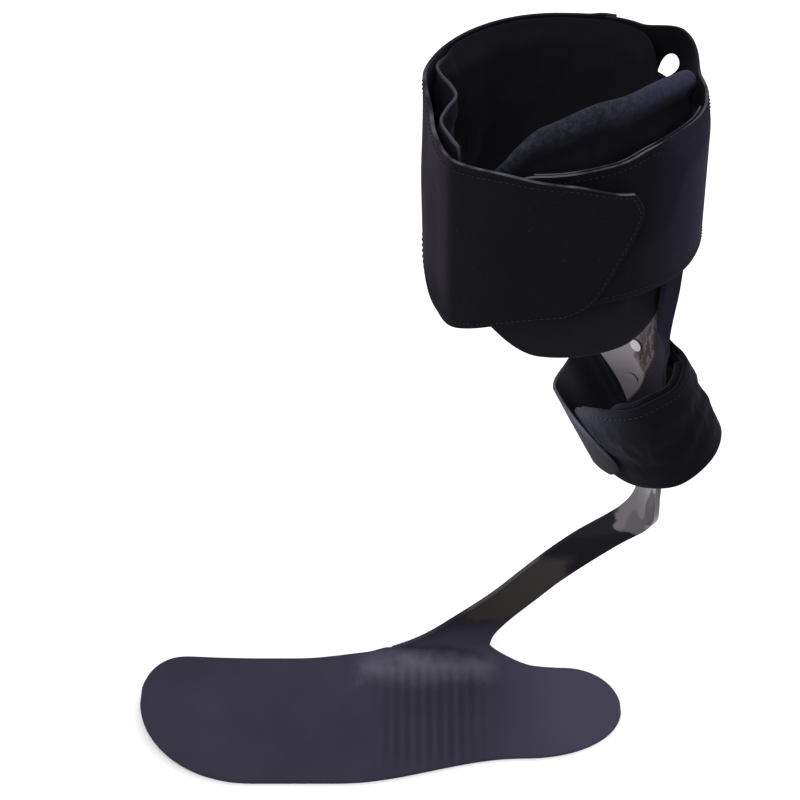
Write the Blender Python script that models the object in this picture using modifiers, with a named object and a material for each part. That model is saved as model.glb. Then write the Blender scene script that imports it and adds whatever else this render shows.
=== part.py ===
"""Carbon ankle foot orthosis for a left foot: frame, calf cuff and ankle band.

Metres, +Z up. The toe points to -X and the leg's inner (medial) side to +Y.
Points are given from the heel's rear edge on the floor, and HEEL places that edge in the frame.
"""

import math

import bmesh
import bpy
from mathutils import Matrix, Vector

HEEL = Vector((0.1122, 0.0010, 0.0))

# Sole plate
FOOT_LENGTH = 0.259
PLATE_THICKNESS = 0.0026
TOE_SPRING = 0.0045
ARCH_RISE = 0.007

# Arm and strut
STRUT_THICKNESS = 0.0023
FLEX_Z = 0.156
FLEX_GAP = 0.0018

# Calf cuff, as layers round one vertical centre line
CALF_X, CALF_Y = -0.0505, 0.0
CALF_TOP = 0.397
STRAP_HEIGHT = 0.076
CALF_TAPER = 0.45
SHELL_R, SHELL_TOP = 0.0575, 0.384
WRAP_R, WRAP_THICKNESS = 0.0599, 0.0016
TAB_R, TAB_THICKNESS = 0.0634, 0.0018
HOOK_R, HOOK_THICKNESS = 0.0613, 0.0006
HOOK_ANGLES, HOOK_LOW, HOOK_HIGH = (246, 276), 0.342, 0.376
LINER_R, LINER_THICKNESS = 0.0527, 0.0046
LINER_START, LINER_END = -126, 206
STICKER_R, STICKER_THICKNESS = 0.0557, 0.0004
STICKER_ANGLES, STICKER_HALF_WIDTH = (-20, 36, 75), 9
STICKER_LOW, STICKER_HIGH = 0.335, 0.372
WING_START, WING_END = -128, 70
STRAP_START, STRAP_FOLD, FOLD_GAP = 71, 204, 0.3
LEAN_START, LEAN_END = -124, 12
BULGE_START, BULGE_AT, BULGE_END, BULGE = 14, 41, 54, 0.0105
FLARE = 0.0035

# Ankle band, leaning forward with its own plan outline
BAND_CENTRE = Vector((-0.0034, 0.005, 0.216))
BAND_LEAN = math.radians(25)
BAND_HEIGHT = 0.050
BAND_THICKNESS = 0.0026
BAND_START, BAND_END = 6.2, 13.55
ANKLE_LINER_THICKNESS, ANKLE_LINER_OFFSET = 0.0038, -0.0035
ANKLE_LINER_START, ANKLE_LINER_END = 10.0, 13.1
ANKLE_STRAP_THICKNESS, ANKLE_STRAP_START = 0.0016, 6.6
ANKLE_FOLD, ANKLE_FOLD_GAP = 4.3, 0.02
BAND_PLAN = [
    (28.5, -2), (22, -19), (4, -28.5), (-17, -18), (-30.5, 5),
    (-27, 23), (-17.5, 35.5), (-3.5, 34), (10.2, 27), (22, 13.5),
]

# Rivets
RIVET_SHANK_R, RIVET_HEAD_R, RIVET_HEAD = 0.0019, 0.0032, 0.0010
RIVET_FLANGE_R, RIVET_FLANGE = 0.0032, 0.0005
WASHER_R, WASHER_THICKNESS = 0.0038, 0.0007
HOLE_R, HOLE_DEPTH = 0.0024, 0.024
RIVET_SIDES = 14
SEAT = 0.0005
WASHER_SEAT = 0.0003
CALF_RIVET_HEIGHTS = {"upper": 0.374, "lower": 0.338}
CALF_RIVET_ANGLES = {"calf_wing": 60, "calf_strap": 96}
ANKLE_FLANGE = -0.0014

CARBON = (0.045, 0.043, 0.062, 1)
FABRIC = (0.010, 0.010, 0.013, 1)
LINER = (0.024, 0.027, 0.040, 1)
HOOK = (0.006, 0.006, 0.007, 1)
STEEL = (0.42, 0.41, 0.44, 1)


def clear_scene():
    for item in list(bpy.data.objects):
        bpy.data.objects.remove(item, do_unlink=True)


def new_collection(name, hidden=False):
    made = bpy.data.collections.new(name)
    made.hide_render = hidden
    bpy.context.scene.collection.children.link(made)
    return made


def material(name, colour, roughness, metallic=0.0):
    made = bpy.data.materials.new(name)
    made.use_nodes = True
    shader = made.node_tree.nodes["Principled BSDF"]
    shader.inputs["Base Color"].default_value = colour
    shader.inputs["Roughness"].default_value = roughness
    shader.inputs["Metallic"].default_value = metallic
    return made


def smooth(low, high, value):
    """0 below low, 1 above high, and an S-curve between."""
    t = min(1.0, max(0.0, (value - low) / (high - low)))
    return t * t * (3 - 2 * t)


def through(points, t, closed=False):
    """The point at parameter t on a smooth curve through the points, one unit of t a point."""
    count = len(points)
    i = math.floor(t) if closed else min(max(math.floor(t), 0), count - 2)
    f = t - i

    def at(k):
        return points[k % count] if closed else points[min(max(k, 0), count - 1)]

    a, b, c, d = (Vector(at(i + k)) for k in (-1, 0, 1, 2))
    return 0.5 * (2 * b + (c - a) * f + (2 * a - 5 * b + 4 * c - d) * f**2 + (3 * b - a - 3 * c + d) * f**3)


def place(name, mesh, finish, collection):
    made = bpy.data.objects.new(name, mesh)
    collection.objects.link(made)
    mesh.materials.append(finish)
    mesh.shade_smooth()
    return made


def shell(name, rows, thickness, finish, pivot=None):
    """A sheet through rows of points, given its thickness by Solidify, with its origin at pivot."""
    origin = pivot if pivot is not None else HEEL
    mesh = bpy.data.meshes.new(name)
    points = [HEEL + p - origin for row in rows for p in row]
    across = len(rows[0])
    faces = [
        (r * across + c, r * across + c + 1, (r + 1) * across + c + 1, (r + 1) * across + c)
        for r in range(len(rows) - 1)
        for c in range(across - 1)
    ]
    mesh.from_pydata(points, [], faces)
    made = place(name, mesh, finish, PARTS)
    made.location = origin
    thicken(made, thickness)
    return made


def thicken(made, thickness, even=True):
    solid = made.modifiers.new("thickness", "SOLIDIFY")
    solid.thickness = thickness
    solid.offset = 0
    solid.use_even_offset = even


# ---------------------------------------------------------------- sole plate and arm


def plate_edges(x):
    """The lateral and medial y of the sole plate at x, its ends rounded as parts of ellipses."""
    from_toe, from_heel = x + FOOT_LENGTH, -x
    lateral = -0.0300 - 0.0165 * smooth(-0.055, -0.150, x)
    medial = 0.0310 + 0.0068 * smooth(-0.030, -0.085, x)

    def rounded(edge, middle, distance, radius):
        return middle + (edge - middle) * math.sqrt(1 - max(0.0, 1 - distance / radius) ** 2)

    lateral = rounded(lateral, 0.008, from_toe, 0.060)
    lateral = rounded(lateral, 0.003, from_heel, 0.052)
    medial = rounded(medial, 0.008, from_toe, 0.023)
    medial = rounded(medial, 0.003, from_heel, 0.029)
    return lateral, medial


def plate_height(x, across):
    """The plate's middle surface: level heel and ball, raised inner arch, slight toe spring."""
    arch = smooth(-0.045, -0.095, x) * smooth(-0.175, -0.120, x)
    rise = ARCH_RISE * arch * smooth(0.35, 1.0, across)
    spring = TOE_SPRING * max(0.0, (-0.195 - x) / 0.064) ** 2
    return PLATE_THICKNESS / 2 + rise + spring


def plate_rows():
    """Stations from toe to heel, close together at the rounded ends."""
    across = 9
    toe = [-FOOT_LENGTH + d for d in (0.0006, 0.003, 0.007, 0.013, 0.022, 0.034, 0.048)]
    middle = [-0.195 + 0.0125 * i for i in range(14)]
    heel = [-d for d in (0.022, 0.014, 0.008, 0.0035, 0.0006)]
    rows = []
    for x in toe + middle + heel:
        low, high = plate_edges(x)
        row = []
        for i in range(across):
            f = i / (across - 1)
            row.append(Vector((x, low + (high - low) * f, plate_height(x, f))))
        rows.append(row)
    return rows


# The arm's edges from its root on the plate to the ankle, in millimetres
ARM_FRONT = [
    (-126, 42, 5.8), (-106.5, 43.5, 14.2), (-85, 44, 32.5), (-68.7, 43.5, 49), (-55.2, 42.5, 66),
    (-42, 41, 83), (-27.7, 39, 100), (-12, 37, 116), (-1.5, 35.5, 129), (2.3, 35, 142), (2.3, 35, 155),
]
ARM_REAR = [
    (-70, 42, 8), (-67.5, 44, 15.5), (-59.5, 45, 26.5), (-46.5, 44.5, 42.5), (-33.5, 43, 59.5),
    (-18, 39.5, 79), (-3, 33, 100), (6.5, 24, 117), (9, 15, 132), (8.6, 9.5, 144), (8, 8, 155),
]


def arm_row(t, across):
    """One cross row of the arm, from its rear edge to its front edge, slightly bowed outwards."""
    rear = through(ARM_REAR, t) / 1000
    front = through(ARM_FRONT, t) / 1000
    ahead = (through(ARM_FRONT, min(t + 0.1, 10)) - through(ARM_FRONT, min(t + 0.1, 10) - 0.2)) / 1000
    out = (front - rear).cross(ahead).normalized()
    bow = 0.0012 * smooth(0, 2, t)
    points = []
    for i in range(across):
        f = i / (across - 1)
        points.append(rear.lerp(front, f) + out * (bow * 4 * f * (1 - f)))
    return points


def make_footplate():
    """The sole plate and its arm as one laminate: the arm's root is a stretch of the plate's inner edge."""
    rows = plate_rows()
    built = bmesh.new()
    grid = [[built.verts.new(p) for p in row] for row in rows]
    root = [i for i, row in enumerate(rows) if -0.138 < row[-1].x < -0.050]
    chain = [[grid[i][-1] for i in reversed(root)]]
    for step in range(31):
        t = step / 3
        chain.append([built.verts.new(p) for p in arm_row(t, len(root))])
    for sheet in (grid, chain):
        for below, above in zip(sheet, sheet[1:]):
            for i in range(len(below) - 1):
                built.faces.new((below[i], below[i + 1], above[i + 1], above[i]))
    for vert in chain[-1]:
        vert.co.z = FLEX_Z - FLEX_GAP / 2
    bmesh.ops.recalc_face_normals(built, faces=built.faces)
    mesh = bpy.data.meshes.new("footplate")
    built.to_mesh(mesh)
    built.free()
    made = place("footplate", mesh, FINISH["carbon"], PARTS)
    made.location = HEEL
    thicken(made, PLATE_THICKNESS, even=False)


# ---------------------------------------------------------------- strut and calf shell


def round_calf(radius, degrees, z, inward=0.0):
    """A point on a calf layer: degrees run from the rear (+X) towards the inner side (+Y)."""
    taper = 1 - CALF_TAPER * (CALF_TOP - z)
    r = radius * taper - inward
    a = math.radians(degrees)
    return Vector((CALF_X + r * math.cos(a), CALF_Y + r * math.sin(a), z))


def arc_row(z, lateral, medial, rise, across):
    """A level row of points on the circular arc from lateral to medial that bows out by rise."""
    a, b = Vector(lateral), Vector(medial)
    chord = (b - a).length
    radius = (chord**2 / 4 + rise**2) / (2 * rise)
    along = (b - a).normalized()
    out = Vector((along.y, -along.x))
    centre = (a + b) / 2 + out * (rise - radius)
    half = math.asin(min(1.0, chord / 2 / radius))
    if rise > radius:
        half = math.pi - half
    row = []
    for i in range(across):
        turn = half * (2 * i / (across - 1) - 1)
        p = centre + radius * (out * math.cos(turn) + along * math.sin(turn))
        row.append(Vector((p.x, p.y, z)))
    return row


# Height, lateral edge x and y, medial edge x and y, and the bow between them, in millimetres
STRUT_STATIONS = [
    (150, 8, 8, 2.3, 35, 1.6),
    (176, 8.2, 9.5, -1, 36, 2.0),
    (193, 8.2, 11.5, -6, 36.5, 2.8),
    (210, 7.2, 13, -13, 37.5, 4.0),
    (226, 5.6, 13, -22, 36.5, 4.0),
    (243, 4.5, 8, -33, 38.5, 7),
    (261, 3.0, -3, -47, 46.5, 16),
    (280, -1.5, -18, -61, 52, 30),
]
SHELL_START, SHELL_END = -38, 112


def shell_station(z):
    """The calf shell's station at height z in millimetres, on the cuff's own circle."""
    lateral, medial = (round_calf(SHELL_R, d, z / 1000) for d in (SHELL_START, SHELL_END))
    radius = (lateral.xy - Vector((CALF_X, CALF_Y))).length
    bow = radius * (1 - math.cos(math.radians(SHELL_END - SHELL_START) / 2))
    return (z, *(1000 * v for v in (lateral.x, lateral.y, medial.x, medial.y, bow)))


def strut_row(z, across):
    """The strut's row at height z: a flat strip at the ankle that opens into the calf shell."""
    stations = STRUT_STATIONS + [shell_station(h) for h in (302, 340, 384)]
    heights = [s[0] / 1000 for s in stations]
    i = max(k for k in range(len(heights) - 1) if heights[k] <= z + 1e-9)
    t = i + (z - heights[i]) / (heights[i + 1] - heights[i])
    lateral = through([s[1:3] for s in stations], t) / 1000
    medial = through([s[3:5] for s in stations], t) / 1000
    rise = through([(s[5], 0) for s in stations], t)[0] / 1000
    return arc_row(z, lateral, medial, rise, across)


def make_strut(pivot):
    start = FLEX_Z + FLEX_GAP / 2
    heights = [start] + [0.168 + 0.0098 * i for i in range(23)]
    rows = [strut_row(min(z, SHELL_TOP), 15) for z in heights]
    shell("strut", rows, STRUT_THICKNESS, FINISH["carbon"], pivot)


# ---------------------------------------------------------------- calf cuff


def calf_layer(radius, start, end, low, high, columns, rows, inward=None):
    """Rows from bottom to top of a cuff layer; low and high may depend on the angle."""
    made = []
    for r in range(rows):
        f = r / (rows - 1)
        row = []
        for c in range(columns):
            degrees = start + (end - start) * c / (columns - 1)
            bottom = low(degrees) if callable(low) else low
            top = high(degrees) if callable(high) else high
            z = bottom + (top - bottom) * f
            at = radius(degrees) if callable(radius) else radius
            row.append(round_calf(at, degrees, z, inward(degrees, f) if inward else 0.0))
        made.append(row)
    return made


def liner_low(degrees):
    """The liner's lower edge hangs below the wrap on the near side."""
    return 0.318 - 0.020 * smooth(-150, -100, degrees) * smooth(0, -60, degrees)


def liner_high(degrees):
    return 0.393 + 0.013 * smooth(-128, -90, degrees) * smooth(60, 0, degrees)


def liner_buckle(degrees):
    """The liner's front end buckles towards the leg."""
    return (0.0075 * smooth(160, 178, degrees) * smooth(197, 182, degrees)
            - 0.0028 * smooth(149, 157, degrees) * smooth(165, 158, degrees))


def liner_lean(degrees, f):
    """The liner's free wing stands away from the wrap along its top, nearly on a chord."""
    if degrees > LEAN_END:
        return liner_buckle(degrees) * smooth(0, 1, f)
    if degrees < LEAN_START:
        return 0.0
    half = math.radians(LEAN_END - LEAN_START) / 2
    off_middle = math.radians(degrees) - math.radians(LEAN_END + LEAN_START) / 2
    return 0.80 * LINER_R * (1 - math.cos(half) / math.cos(off_middle)) * f**1.6


def wrap_radius(degrees):
    """The wrap lies on the shell but stands off it in a loop on the inner rear corner."""
    loop = smooth(BULGE_START, BULGE_AT, degrees) * smooth(BULGE_END, BULGE_AT, degrees)
    return WRAP_R + BULGE * loop


def wing_flare(degrees, f):
    """The wing's lower edge stands out behind the calf."""
    return -FLARE * (1 - f) * smooth(-75, -25, degrees) * smooth(30, 5, degrees)


def wing_low(degrees):
    """The wing is cut higher than the strap below its closing side."""
    raised = smooth(-125, -85, degrees) * (1 - 0.25 * smooth(-25, 0, degrees) - 0.75 * smooth(15, 60, degrees))
    return CALF_TOP - STRAP_HEIGHT + 0.012 * raised


def wrap_low(degrees):
    return CALF_TOP - STRAP_HEIGHT - 0.018 * smooth(165, STRAP_FOLD, degrees)


def wrap_high(degrees):
    rise = 0.003 * smooth(20, 60, degrees) + 0.002 * smooth(20, 45, degrees) * smooth(90, 50, degrees)
    return CALF_TOP + rise - 0.0055 * smooth(165, STRAP_FOLD, degrees)


def make_calf_cuff(pivots):
    shell("calf_liner",
          calf_layer(LINER_R, LINER_START, LINER_END, liner_low, liner_high, 56, 6, liner_lean),
          LINER_THICKNESS, FINISH["liner"], pivots["flex"])
    shell("calf_wing", calf_layer(wrap_radius, WING_START, WING_END, wing_low, wrap_high, 50, 5, wing_flare),
          WRAP_THICKNESS, FINISH["fabric"], pivots["flex"])
    shell("calf_strap",
          calf_layer(WRAP_R, STRAP_START, STRAP_FOLD - FOLD_GAP, wrap_low, wrap_high, 20, 5),
          WRAP_THICKNESS, FINISH["fabric"], pivots["flex"])
    shell("calf_strap_tab", tab_rows(), TAB_THICKNESS, FINISH["fabric"], pivots["calf_tab"])
    shell("calf_hook_patch", calf_layer(HOOK_R, *HOOK_ANGLES, HOOK_LOW, HOOK_HIGH, 8, 3),
          HOOK_THICKNESS, FINISH["hook"], pivots["calf_tab"])
    for number, degrees in enumerate(STICKER_ANGLES, 1):
        start, end = degrees - STICKER_HALF_WIDTH, degrees + STICKER_HALF_WIDTH
        shell(f"calf_liner_hook_{number}",
              calf_layer(STICKER_R, start, end, STICKER_LOW, STICKER_HIGH, 5, 3),
              STICKER_THICKNESS, FINISH["hook"], pivots["flex"])


def tab_radius(degrees):
    """The closing end leaves the strap's layer and climbs over the wing."""
    return WRAP_R + (TAB_R - WRAP_R) * smooth(STRAP_FOLD, STRAP_FOLD + 20, degrees)


# Height in millimetres and angle of the closing end's far edge, from its lower to its upper corner
TAB_EDGE = [(329, 268), (333, 276), (339, 282), (352, 288), (366, 294), (378, 298), (385, 296), (390, 293)]


def tab_rows():
    """The closing end of the calf strap: its far edge is a blunt point, cut back below."""
    rows = []
    for i, (z_edge, end) in enumerate(TAB_EDGE):
        f = i / (len(TAB_EDGE) - 1)
        row = []
        for c in range(18):
            g = c / 17
            degrees = STRAP_FOLD + FOLD_GAP + (end - STRAP_FOLD - FOLD_GAP) * g
            z_root = wrap_low(STRAP_FOLD) + (wrap_high(STRAP_FOLD) - wrap_low(STRAP_FOLD)) * f
            z = z_root + (z_edge / 1000 - z_root) * smooth(0.05, 1.0, g)
            row.append(round_calf(tab_radius(degrees), degrees, z))
        rows.append(row)
    return rows


# ---------------------------------------------------------------- ankle band


def band_point(t, offset, height):
    """A point of the ankle band: t runs round its plan, offset is outwards and height along its axis."""
    here = through(BAND_PLAN, t, closed=True) / 1000
    along = through(BAND_PLAN, t + 0.02, closed=True) - through(BAND_PLAN, t - 0.02, closed=True)
    out = Vector((along.y, -along.x)).normalized() * -1
    u, v = here + out * offset
    forward = Vector((math.cos(BAND_LEAN), 0, math.sin(BAND_LEAN)))
    axis = Vector((-math.sin(BAND_LEAN), 0, math.cos(BAND_LEAN)))
    return BAND_CENTRE + forward * u + Vector((0, v, 0)) + axis * height


def band_layer(offset, start, end, low, high, columns, rows):
    made = []
    for r in range(rows):
        f = r / (rows - 1)
        row = []
        for c in range(columns):
            t = start + (end - start) * c / (columns - 1)
            bottom = low(t) if callable(low) else low
            top = high(t) if callable(high) else high
            at = offset(t) if callable(offset) else offset
            row.append(band_point(t, at, bottom + (top - bottom) * f))
        made.append(row)
    return made


def band_high(t):
    """The band's top edge rises to a tongue where it is riveted to the strut."""
    return BAND_HEIGHT / 2 + 0.007 * smooth(7.4, 8.2, t) * smooth(9.4, 8.6, t)


# Height in millimetres and plan parameter of the ankle strap's pointed end, from bottom to top
ANKLE_TAB_EDGE = [(-21, 3.25), (-16, 3.0), (-9, 2.95), (4, 3.3), (25, 3.95)]


def ankle_tab_rows():
    """The closing end of the ankle strap, cut to a point on the near side."""
    start = ANKLE_FOLD - ANKLE_FOLD_GAP
    rows = []
    for height, end in ANKLE_TAB_EDGE:
        row = []
        for c in range(9):
            t = start + (end - start) * c / 8
            offset = 0.0042 * smooth(4.25, 3.45, t)
            row.append(band_point(t, offset, height / 1000))
        rows.append(row)
    return rows


def ankle_strap_offset(t):
    """The strap starts over the band's end and drops to the band's own layer."""
    return 0.0025 * smooth(5.8, 6.2, t)


def make_ankle_band(pivots):
    half = BAND_HEIGHT / 2
    shell("ankle_band", band_layer(0, BAND_START, BAND_END, -half, band_high, 36, 4),
          BAND_THICKNESS, FINISH["fabric"], pivots["flex"])
    low, high = -half + 0.002, half + 0.001
    shell("ankle_liner",
          band_layer(ANKLE_LINER_OFFSET, ANKLE_LINER_START, ANKLE_LINER_END, low, high, 18, 4),
          ANKLE_LINER_THICKNESS, FINISH["liner"], pivots["flex"])
    strap_end = ANKLE_FOLD + ANKLE_FOLD_GAP
    shell("ankle_strap", band_layer(ankle_strap_offset, ANKLE_STRAP_START, strap_end, -half, half, 14, 4),
          ANKLE_STRAP_THICKNESS, FINISH["fabric"], pivots["flex"])
    shell("ankle_strap_tab", ankle_tab_rows(), ANKLE_STRAP_THICKNESS, FINISH["fabric"], pivots["ankle_tab"])
    shell("ankle_hook_patch", band_layer(0.00245, 3.42, 3.12, -0.013, 0.001, 4, 3),
          HOOK_THICKNESS, FINISH["hook"], pivots["ankle_tab"])


# ---------------------------------------------------------------- rivets


def turned(name, profile, closed, matrix, finish):
    """A turned piece from a profile of radius and height, outer side running top to bottom."""
    mesh = bpy.data.meshes.new(name)
    points = [(r, 0, h) for r, h in profile]
    edges = [(i, i + 1) for i in range(len(points) - 1)]
    if closed:
        edges.append((len(points) - 1, 0))
    mesh.from_pydata(points, edges, [])
    made = place(name, mesh, finish, PARTS)
    made.matrix_world = matrix
    screw = made.modifiers.new("turn", "SCREW")
    screw.steps = screw.render_steps = RIVET_SIDES
    screw.use_merge_vertices = True
    screw.merge_threshold = 0.00001
    return made


def rivet(name, base, normal, inner, outer, through_names):
    """A rivet and its washer along normal at base, and its hole in the layers that it joins.

    inner and outer are where the layers begin and end, measured from base along normal.
    """
    turn = normal.to_track_quat("Z", "X").to_matrix().to_4x4()
    matrix = Matrix.Translation(HEEL + base) @ turn
    low, washer = inner - SEAT, outer + WASHER_SEAT
    head = washer + WASHER_THICKNESS + WASHER_SEAT
    turned(f"{name}_washer", [
        (HOLE_R, washer + WASHER_THICKNESS), (WASHER_R, washer + WASHER_THICKNESS),
        (WASHER_R, washer), (HOLE_R, washer),
    ], True, matrix, FINISH["steel"])
    turned(name, [
        (0, head + RIVET_HEAD), (0.6 * RIVET_HEAD_R, head + 0.85 * RIVET_HEAD),
        (RIVET_HEAD_R, head + 0.3 * RIVET_HEAD), (RIVET_HEAD_R, head), (RIVET_SHANK_R, head),
        (RIVET_SHANK_R, low), (RIVET_FLANGE_R, low), (RIVET_FLANGE_R, low - RIVET_FLANGE),
        (0, low - RIVET_FLANGE),
    ], False, matrix, FINISH["steel"])
    bpy.ops.mesh.primitive_cylinder_add(vertices=RIVET_SIDES, radius=HOLE_R, depth=HOLE_DEPTH)
    cutter = bpy.context.object
    cutter.name = f"{name}_hole"
    cutter.matrix_world = matrix
    cutter.hide_render = True
    cutter.display_type = "WIRE"
    for collection in list(cutter.users_collection):
        collection.objects.unlink(cutter)
    CUTTERS.objects.link(cutter)
    for layer in through_names:
        cut = bpy.data.objects[layer].modifiers.new(f"{name}_hole", "BOOLEAN")
        cut.object = cutter


# Name, height, share of the strut's width from its lateral edge, and depth to the band's outer face
ANKLE_RIVETS = (("upper", 0.241, 0.42, 0.0089), ("lower", 0.216, 0.67, 0.0092))


def strut_side(z, share):
    """A point of the strut's middle surface and the direction away from the leg there."""
    row = strut_row(z, 13)
    above = strut_row(z + 0.002, 13)
    i = round(share * 12)
    normal = (row[i + 1] - row[i - 1]).cross(above[i] - row[i]).normalized()
    middle = (row[0] + row[-1]) / 2
    return row[i], normal if normal.dot(row[i] - middle) > 0 else -normal


def make_rivets():
    for layer, degrees in CALF_RIVET_ANGLES.items():
        for place_name, z in CALF_RIVET_HEIGHTS.items():
            base = round_calf(SHELL_R, degrees, z)
            normal = (round_calf(1, degrees, z) - round_calf(0, degrees, z)).normalized()
            taper = (base.xy - Vector((CALF_X, CALF_Y))).length / SHELL_R
            outer = (WRAP_R - SHELL_R) * taper + WRAP_THICKNESS / 2
            rivet(f"{layer}_rivet_{place_name}", base, normal, -STRUT_THICKNESS / 2, outer, ["strut", layer])
    for place_name, z, share, reach in ANKLE_RIVETS:
        base, normal = strut_side(z, share)
        rivet(f"ankle_rivet_{place_name}", base, normal, ANKLE_FLANGE, reach, ["strut", "ankle_band"])


# ---------------------------------------------------------------- run

clear_scene()
PARTS = new_collection("ankle_foot_orthosis")
CUTTERS = new_collection("cutters", hidden=True)
FINISH = {
    "carbon": material("carbon", CARBON, 0.35),
    "fabric": material("fabric", FABRIC, 0.9),
    "liner": material("liner", LINER, 0.95),
    "hook": material("hook", HOOK, 0.8),
    "steel": material("steel", STEEL, 0.3, 1.0),
}
PIVOTS = {
    "flex": HEEL + Vector((0.0052, 0.0215, FLEX_Z)),
    "calf_tab": HEEL + round_calf(WRAP_R + TAB_THICKNESS / 2, STRAP_FOLD, 0.36),
    "ankle_tab": HEEL + band_point(ANKLE_FOLD, 0.001, 0.0),
}
make_footplate()
make_strut(PIVOTS["flex"])
make_calf_cuff(PIVOTS)
make_ankle_band(PIVOTS)
make_rivets()
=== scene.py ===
"""Looks of the carbon ankle foot orthosis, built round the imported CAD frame.

Metres, +Z up. Points are given from the heel's rear edge on the floor, as in the CAD model:
the toe points to -X and the leg's inner (medial) side to +Y. HEEL places that edge in the frame.
"""

import math

import bmesh
import bpy
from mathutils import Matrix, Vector, noise


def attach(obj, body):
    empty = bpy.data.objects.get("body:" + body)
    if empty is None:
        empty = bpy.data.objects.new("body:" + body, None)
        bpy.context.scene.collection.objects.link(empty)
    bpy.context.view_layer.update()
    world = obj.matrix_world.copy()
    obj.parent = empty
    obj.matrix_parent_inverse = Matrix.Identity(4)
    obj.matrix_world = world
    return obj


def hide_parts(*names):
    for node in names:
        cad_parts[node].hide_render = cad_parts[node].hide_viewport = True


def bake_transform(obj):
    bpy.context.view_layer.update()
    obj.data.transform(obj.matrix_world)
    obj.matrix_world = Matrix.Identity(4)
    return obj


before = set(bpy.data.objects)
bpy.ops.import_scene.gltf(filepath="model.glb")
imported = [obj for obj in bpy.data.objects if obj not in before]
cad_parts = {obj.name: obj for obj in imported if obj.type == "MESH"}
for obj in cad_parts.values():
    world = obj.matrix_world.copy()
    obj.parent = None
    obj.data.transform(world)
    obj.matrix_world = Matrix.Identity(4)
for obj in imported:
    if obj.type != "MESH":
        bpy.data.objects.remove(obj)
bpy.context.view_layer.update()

HEEL = Vector((0.1122, 0.0010, 0.0))

CAMERA_ELEVATION = math.radians(42)
CAMERA_DISTANCE = 1.0
CAMERA_TARGET = HEEL + Vector((-0.119, 0.0, 0.228))
CAMERA_SENSOR, CAMERA_LENS = 36.0, 96.3
# Directions of the photo's view, up across it and ahead into it
VIEW_UP = Vector((0, math.sin(CAMERA_ELEVATION), math.cos(CAMERA_ELEVATION)))
VIEW_AHEAD = Vector((0, math.cos(CAMERA_ELEVATION), -math.sin(CAMERA_ELEVATION)))

# Sole plate
FOOT_LENGTH = 0.259
PLATE_THICKNESS = 0.0026
LAMINATE = 0.0024
TOE_SPRING = 0.0045
ARCH_RISE = 0.007

# Calf cuff, as layers round one vertical centre line; its angles are in degrees
CALF_X, CALF_Y = -0.0505, 0.0
CALF_TOP = 0.397
STRAP_HEIGHT = 0.076
CALF_TAPER = 0.45
SHELL_R, SHELL_TOP = 0.0575, 0.384
WRAP_R, WRAP_THICKNESS = 0.0599, 0.0016
LINING_THICKNESS = 0.0010
WING_START, WING_END = -128, 70
TAB_R, TAB_RISE = 0.0634, 0.0068
LINER_R = 0.0527
STRAP_START, STRAP_FOLD, STRAP_THICKNESS = 66, 204, 0.0017
BULGE_START, BULGE_AT, BULGE_END, BULGE = 14, 41, 54, 0.0105
FLARE = 0.0035

# Ankle band, leaning forward. Its plan outline is in millimetres; places along it count the outline's points
BAND_CENTRE = Vector((-0.0034, 0.005, 0.216))
BAND_LEAN = math.radians(25)
BAND_HEIGHT = 0.050
BAND_START, BAND_END = 6.2, 13.74
BAND_SEAM = 0.0042
BAND_PLAN = [
    (28.5, -2), (22, -19), (4, -28.5), (-17, -18), (-30.5, 5),
    (-27, 23), (-17.5, 35.5), (-3.5, 34), (10.2, 27), (22, 13.5),
]
ANKLE_STRAP_THICKNESS, ANKLE_STRAP_RISE = 0.0016, 0.004

# Thread, and the cloth simulation that stuffs the pads
STITCH_SPACING, STITCH_LENGTH, STITCH_RADIUS = 0.0026, 0.0017, 0.00022
CLOTH_FRAMES, CLOTH_PRESSURE, CLOTH_STIFFNESS, CLOTH_SHRINK = 20, 4.0, 12, -0.03

# ---------------------------------------------------------------- curves


def smooth(low, high, value):
    """0 below low, 1 above high, and an S-curve between."""
    t = min(1.0, max(0.0, (value - low) / (high - low)))
    return t * t * (3 - 2 * t)


def bell(centre, width, value):
    """1 at the centre, falling to 0 at width on either side."""
    return smooth(centre - width, centre, value) * smooth(centre + width, centre, value)


def through(points, t, closed=False):
    """The point at parameter t on a smooth curve through the points, one unit of t a point."""
    count = len(points)
    i = math.floor(t) if closed else min(max(math.floor(t), 0), count - 2)
    f = t - i

    def at(k):
        return points[k % count] if closed else points[min(max(k, 0), count - 1)]

    a, b, c, d = (Vector(at(i + k)) for k in (-1, 0, 1, 2))
    return 0.5 * (2 * b + (c - a) * f + (2 * a - 5 * b + 4 * c - d) * f**2 + (3 * b - a - 3 * c + d) * f**3)


def steps(low, high, count):
    return [low + (high - low) * i / (count - 1) for i in range(count)]


# ---------------------------------------------------------------- materials


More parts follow.
